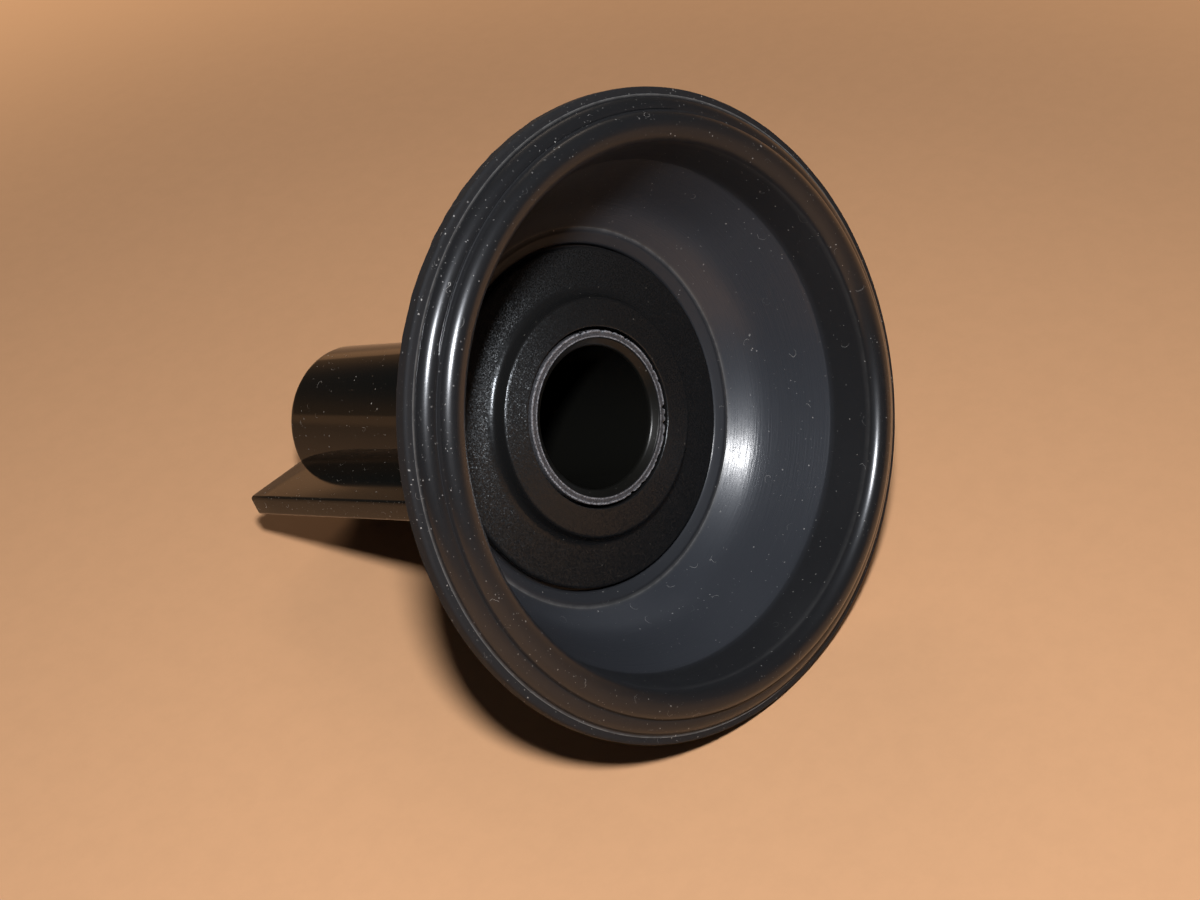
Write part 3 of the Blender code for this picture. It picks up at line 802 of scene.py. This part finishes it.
def slideFinish():
    s = slide
    material, tree, shader = newMaterial("glossy black plastic")
    place = objectPlace(tree)
    cutRim = painted(tree, "cutRim")
    crumbs = noise(tree, place, s["crumbScale"], 3.0, 0.7)

    # Dust on the outside: specks, flecks and fibres, and more specks on the plate's side faces
    sideSpecks = dustSpecks(tree, place, *s["sideSpecks"])
    bits = highest(
        tree,
        dustSpecks(tree, place, *s["specks"]),
        dustSpecks(tree, place, *s["flecks"]),
        lintFibres(tree, place, *s["fibres"]),
        times(tree, sideSpecks, painted(tree, "plateSide")),
    )
    faint = rise(tree, noise(tree, place, s["faintScale"], 2.0), 0.4, 0.62, 0.1, 0.8)
    dust = times(tree, times(tree, bits, faint), painted(tree, "outside"), True)

    # The cut rim is grey, with crumbs painted lighter along its two ridges: painted highlights
    light = times(tree, rise(tree, crumbs, 0.4, 0.6, 0.2, 1.0), painted(tree, "rimRidgeHighlight"))
    rim = blendColours(tree, light, (*s["rimColour"], 1), (*s["cutColour"], 1))
    plain = blendColours(tree, dust, (*s["colour"], 1), (*s["dustColour"], 1))
    tree.links.new(blendColours(tree, cutRim, plain, rim), shader.inputs["Base Color"])

    cloud = times(tree, noise(tree, place, s["cloudScale"], 2.0), s["unevenness"])
    rough = plus(tree, s["roughness"], cloud)
    rough = plus(tree, rough, times(tree, dust, s["dustRoughness"]), True)
    rough = plus(tree, rough, times(tree, painted(tree, "mouthEdge"), s["mouthRoughness"]))
    roughest = addNode(tree, "ShaderNodeMix", None, n0=cutRim, n2=rough, n3=s["rimRoughness"])
    tree.links.new(roughest.outputs[0], shader.inputs["Roughness"])

    wave = times(tree, noise(tree, place, s["waveScale"], 1.0), s["waveRelief"])
    relief = plus(tree, wave, times(tree, bits, s["dustRelief"]))
    relief = plus(tree, relief, times(tree, times(tree, crumbs, cutRim), s["crumbRelief"]))
    bump = addNode(tree, "ShaderNodeBump", None, Strength=s["bumpStrength"],
                   Distance=s["bumpMetres"], Height=relief)
    tree.links.new(bump.outputs[0], shader.inputs["Normal"])
    shader.inputs["IOR"].default_value = s["refraction"]
    return material


print("diaphragm")
rubberPiece = makeDiaphragm()
rubberPiece.data.materials.append(rubberFinish())
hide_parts("diaphragm")
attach(rubberPiece, "root")

print("retaining ring")
ringPiece = makeRetainingRing()
ringPiece.data.materials.append(ringFinish())
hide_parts("retaining_ring")
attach(ringPiece, "root")

print("slide body")
slidePiece = makeSlide()
slidePiece.data.materials.clear()
slidePiece.data.materials.append(slideFinish())
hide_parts("slide_body")
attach(slidePiece, "root")

# Floor, light and camera, in metres and degrees
studio = {
    "floorHalf": 1.6, "floorColour": (0.72, 0.40, 0.21), "floorRoughness": 0.8,
    "floorShine": 0.2, "floorDarker": 0.97, "floorGrain": 300,
    "farColour": (0.68, 0.355, 0.17), "farStart": 0.105, "farEnd": 0.23,
    "roomColour": (0.026, 0.027, 0.029), "horizonColour": (0.22, 0.12, 0.06),
    "horizonHeights": (0.02, 0.22),
    "keyPlace": (-0.1221, -0.1484, 0.2666), "keySize": 0.032, "keyPower": 1.05,
    "keyColour": (0.985, 0.985, 1.0), "lampAim": (0.0, -0.015, 0.030),
    "backPlace": (0.40, 0.50, 0.42), "backSize": 0.42, "backPower": 0.9,
    "backColour": (1.0, 0.82, 0.66),
    "cameraPlace": (-0.12225, -0.13712, 0.15738), "cameraTurn": (52.127, 6.588, -48.977),
    "lens": 63.0, "sensorWidth": 36.0, "nearest": 0.005,
}


def makeFloor():
    # a flat square grid of 9 by 9 points
    side = np.linspace(-studio["floorHalf"], studio["floorHalf"], 9)
    x, y = np.meshgrid(side, side, indexing="ij")
    points = np.stack([x, y, 0 * x], axis=-1).reshape(-1, 3)
    index = np.arange(len(points)).reshape(x.shape)
    corners = [index[:-1, :-1], index[1:, :-1], index[1:, 1:], index[:-1, 1:]]
    floor = makePiece("floor", points, np.stack(corners, axis=-1).reshape(-1, 4))

    material, tree, shader = newMaterial("pale floor")
    place = objectPlace(tree)
    tone = rise(tree, noise(tree, place, studio["floorGrain"], 4.0, 0.7), 0.3, 0.7)
    low = tuple(studio["floorDarker"] * part for part in studio["floorColour"])
    colour = blendColours(tree, tone, (*low, 1), (*studio["floorColour"], 1))
    tree.links.new(colour, shader.inputs["Base Color"])
    shader.inputs["Roughness"].default_value = studio["floorRoughness"]
    shader.inputs["Specular IOR Level"].default_value = studio["floorShine"]

    # Far from the object the floor shows its plain colour to the eye and in gloss, as a backdrop does
    away = rise(tree, vectorWork(tree, "LENGTH", place), studio["farStart"], studio["farEnd"])
    plain = addNode(tree, "ShaderNodeEmission", None, Color=(*studio["farColour"], 1))
    joined = addNode(tree, "ShaderNodeMixShader", None, n0=times(tree, seenRays(tree), away),
                     n1=shader.outputs[0], n2=plain.outputs[0])
    tree.links.new(joined.outputs[0], tree.nodes["Material Output"].inputs["Surface"])
    floor.data.materials.append(material)


def makeLamp(name):
    # a round lamp that faces the object
    light = bpy.data.lights.new(name, "AREA")
    light.shape, light.size = "DISK", studio[name + "Size"]
    light.energy, light.color = studio[name + "Power"], studio[name + "Colour"]
    lamp = bpy.data.objects.new(name, light)
    lamp.location = studio[name + "Place"]
    towards = Vector(studio["lampAim"]) - lamp.location
    lamp.rotation_euler = towards.to_track_quat("-Z", "Y").to_euler()
    bpy.context.scene.collection.objects.link(lamp)


def makeLights():
    # two lamps in a dark grey room, which shows the floor's colour low down to the eye and in gloss
    world = bpy.data.worlds.new("soft room")
    world.use_nodes = True
    tree = world.node_tree
    direction = addNode(tree, "ShaderNodeTexCoord").outputs["Generated"]
    upwards = addNode(tree, "ShaderNodeSeparateXYZ", None, Vector=direction).outputs[2]
    low = rise(tree, upwards, *studio["horizonHeights"], 1.0, 0.0)
    colour = blendColours(tree, times(tree, seenRays(tree), low), (*studio["roomColour"], 1),
                          (*studio["horizonColour"], 1))
    tree.links.new(colour, tree.nodes["Background"].inputs["Color"])
    bpy.context.scene.world = world
    makeLamp("key")
    makeLamp("back")


def makeCamera():
    view = bpy.data.cameras.new("camera")
    view.lens = studio["lens"]
    view.sensor_width = studio["sensorWidth"]
    view.clip_start = studio["nearest"]
    camera = bpy.data.objects.new("camera", view)
    camera.location = studio["cameraPlace"]
    turn = [math.radians(part) for part in studio["cameraTurn"]]
    camera.rotation_euler = Euler(turn, "XYZ")
    bpy.context.scene.collection.objects.link(camera)
    bpy.context.scene.camera = camera


print("floor, light and camera")
makeFloor()
makeLights()
makeCamera()
bpy.context.scene.view_settings.view_transform = "Standard"
